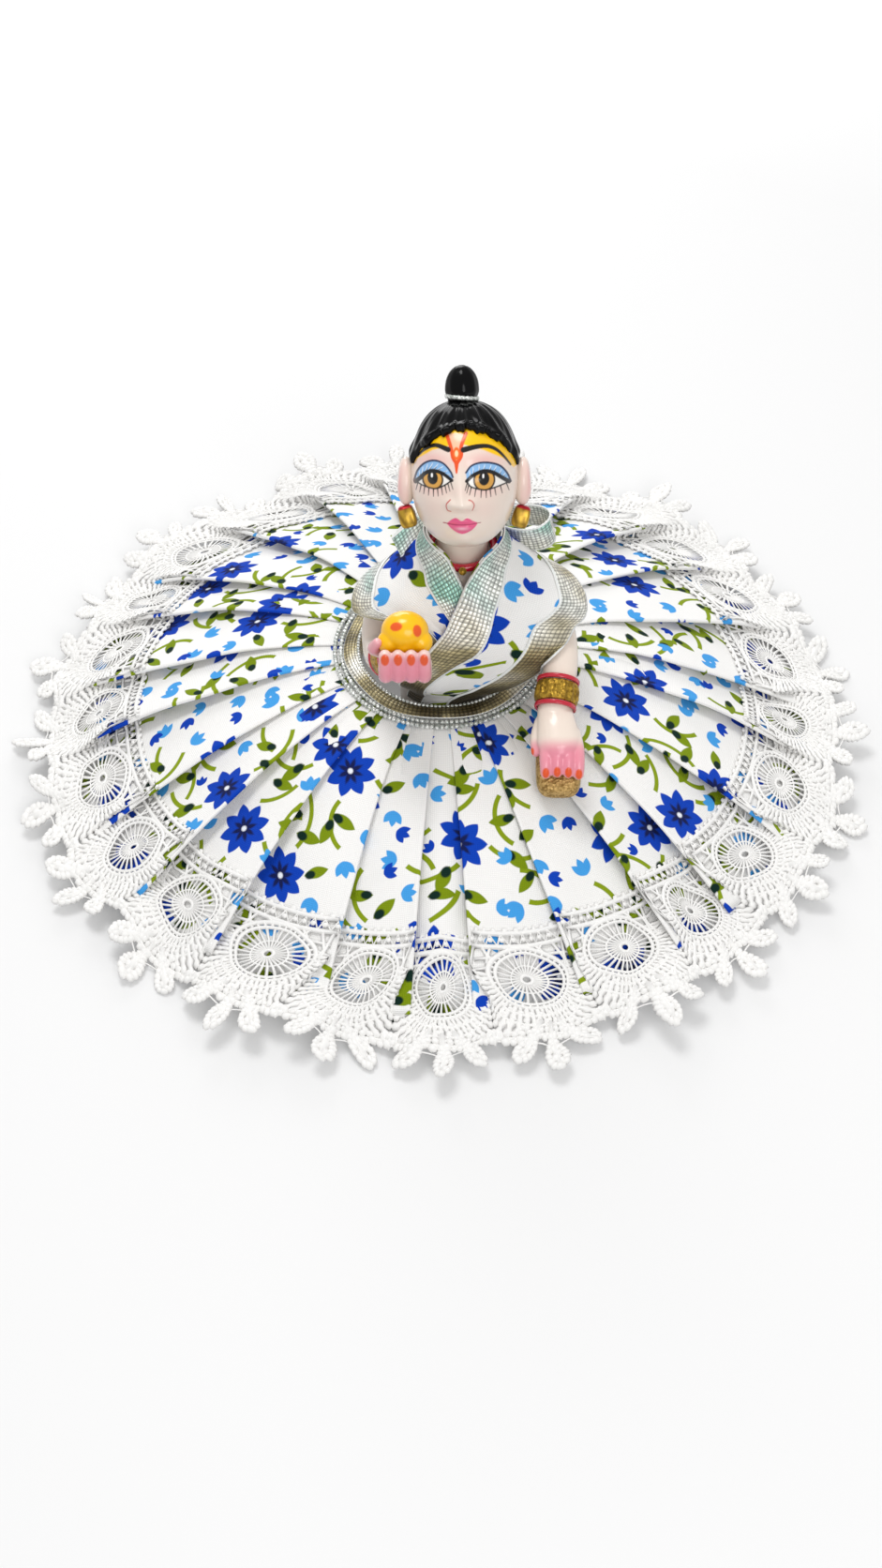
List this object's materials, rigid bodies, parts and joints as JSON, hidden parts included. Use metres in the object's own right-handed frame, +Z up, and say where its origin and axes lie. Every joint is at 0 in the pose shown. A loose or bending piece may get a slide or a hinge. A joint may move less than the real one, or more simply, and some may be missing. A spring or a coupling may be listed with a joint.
{
  "type": "dressed devotional figurine",
  "caption": "Painted white crawling-child figurine in a wide pleated floral dress with a lace hem, ribbon waistband, crossed scarf and bow; lifts out of its dress.",
  "frame": {"origin": "on the floor under the middle of the dress's round hem", "axes": "+Z up, the figure faces -Y, and +X is the figure's left"},
  "size_m": [0.276, 0.276, 0.1387],
  "materials": {
    "printed_cotton": "plain-woven white cotton printed with blue flowers and green leaves",
    "lining": "stiff white woven lining",
    "white_lace": "openwork cotton lace",
    "metallic_ribbon": "woven metallic ribbon, silver, teal and pale gold",
    "silver_piping": "silver thread cord",
    "white_marble": "polished warm white with painted details",
    "black_hair": "glossy black paint",
    "silver_band": "silver paint",
    "yellow_sweet": "glossy yellow paint",
    "gold_paint": "gold paint",
    "red_enamel": "glossy red paint"
  },
  "bodies": {
    "dress": {"skirt_cloth": "printed_cotton", "skirt_lining": "lining", "hem_lace": "white_lace", "waistband_ribbon": "metallic_ribbon", "waist_piping_upper": "silver_piping", "waist_piping_lower": "silver_piping"},
    "figure": {"trunk": "white_marble", "head": "white_marble", "hair_cap": "black_hair", "topknot": "black_hair", "topknot_band": "silver_band", "earring_right": "gold_paint", "earring_left": "gold_paint", "necklace_band": "red_enamel", "necklace_pendant": "gold_paint", "arm_left": "white_marble", "arm_right": "white_marble", "sweet_ball": "yellow_sweet", "hand_block": "gold_paint", "bangle_left_lower_rim": "red_enamel", "bangle_left_band": "gold_paint", "bangle_left_upper_rim": "red_enamel", "bangle_right_lower_rim": "red_enamel", "bangle_right_band": "gold_paint", "bangle_right_upper_rim": "red_enamel", "scarf_cloth": "printed_cotton", "scarf_trim_inner": "metallic_ribbon", "scarf_trim_outer": "metallic_ribbon", "bow_knot": "metallic_ribbon", "bow_loop_right": "metallic_ribbon", "bow_loop_left": "metallic_ribbon", "bow_tail_right": "metallic_ribbon", "bow_tail_left": "metallic_ribbon"}
  },
  "joints": [
    {"name": "figure_lift", "type": "slide", "parent": "dress", "child": "figure", "axis": [0, 0, 1], "range_m": [0, 0.06]}
  ]
}
